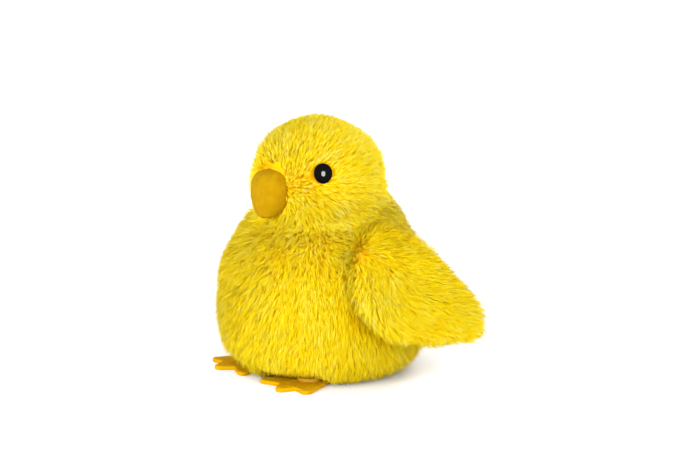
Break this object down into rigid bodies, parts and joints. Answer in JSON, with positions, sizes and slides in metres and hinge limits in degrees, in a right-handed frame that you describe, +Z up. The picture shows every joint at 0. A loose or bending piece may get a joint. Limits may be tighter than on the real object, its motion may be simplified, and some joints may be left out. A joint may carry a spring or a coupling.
{
  "type": "wind-up hopping chick",
  "caption": "Plush yellow chick with felt beak and feet that hops on clockwork-driven legs; swept wings hinge at the shoulders.",
  "frame": {"origin": "on the floor under the middle of the overall box", "axes": "-Y the way the chick faces, +X its left, +Z up"},
  "size_m": [0.1106, 0.0744, 0.0932],
  "materials": {
    "plush": "long pile",
    "stuffing": "fibre filling",
    "felt": "felt",
    "black_thread": "embroidered",
    "white_thread": "embroidered",
    "white_plastic": "moulded",
    "yellow_plastic": "moulded",
    "orange_plastic": "moulded",
    "brass": "stamped",
    "steel": "bright"
  },
  "bodies": {
    "chick": {"body_plush": "plush", "body_stuffing": "stuffing", "head_plush": "plush", "head_stuffing": "stuffing", "eye_left": "black_thread", "eye_right": "black_thread", "eye_glint_left": "white_thread", "eye_glint_right": "white_thread", "beak_left_panel": "felt", "beak_right_panel": "felt", "beak_filling": "stuffing", "wing_gusset_left": "plush", "wing_gusset_right": "plush", "nape_pad": "plush", "base_plate": "white_plastic", "clamp_ring": "white_plastic", "base_screws": "steel", "inner_shell": "white_plastic", "casing_left": "white_plastic", "casing_right": "white_plastic", "casing_screws": "steel", "spring_post": "steel", "mainspring": "steel", "compound_shaft": "steel", "leg_pivot_pin": "steel", "leg_spring": "steel"},
    "winder": {"winding_shaft": "steel", "winding_knob": "yellow_plastic", "main_gear": "brass"},
    "compound": {"compound_gear": "brass"},
    "crank": {"crank_shaft": "steel", "crank_pinion": "brass", "crank_disc_left": "white_plastic", "crank_disc_right": "white_plastic"},
    "legs": {"leg_yoke": "orange_plastic", "foot_left": "felt", "foot_right": "felt"},
    "wing_l": {"wing_left": "plush", "wing_wadding_left": "stuffing"},
    "wing_r": {"wing_right": "plush", "wing_wadding_right": "stuffing"}
  },
  "joints": [
    {"name": "winder_turn", "type": "hinge", "parent": "chick", "child": "winder", "pos_m": [-0.02, 0.015, 0.019], "axis": [1, 0, 0], "continuous": true},
    {"name": "compound_turn", "type": "hinge", "parent": "chick", "child": "compound", "pos_m": [0, 0.0035, 0.01557], "axis": [1, 0, 0], "continuous": true},
    {"name": "crank_turn", "type": "hinge", "parent": "chick", "child": "crank", "pos_m": [0, -0.0058, 0.01189], "axis": [1, 0, 0], "continuous": true},
    {"name": "legs_kick", "type": "hinge", "parent": "chick", "child": "legs", "pos_m": [0, 0.013, 0.0082], "axis": [1, 0, 0], "range_deg": [0, 12], "stiffness_Nm_per_rad": 0.02},
    {"name": "wing_left_flap", "type": "hinge", "parent": "chick", "child": "wing_l", "pos_m": [0.03113, -0.00946, 0.0503], "axis": [0.1368, -0.6137, -0.7776], "range_deg": [0, 25], "stiffness_Nm_per_rad": 0.01},
    {"name": "wing_right_flap", "type": "hinge", "parent": "chick", "child": "wing_r", "pos_m": [-0.03153, -0.00096, 0.0505], "axis": [0.1368, 0.6137, 0.7776], "range_deg": [0, 25], "stiffness_Nm_per_rad": 0.01}
  ],
  "couplings": [
    {"joint": "compound_turn", "follows": "winder_turn", "ratio": -3},
    {"joint": "crank_turn", "follows": "winder_turn", "ratio": 9}
  ]
}
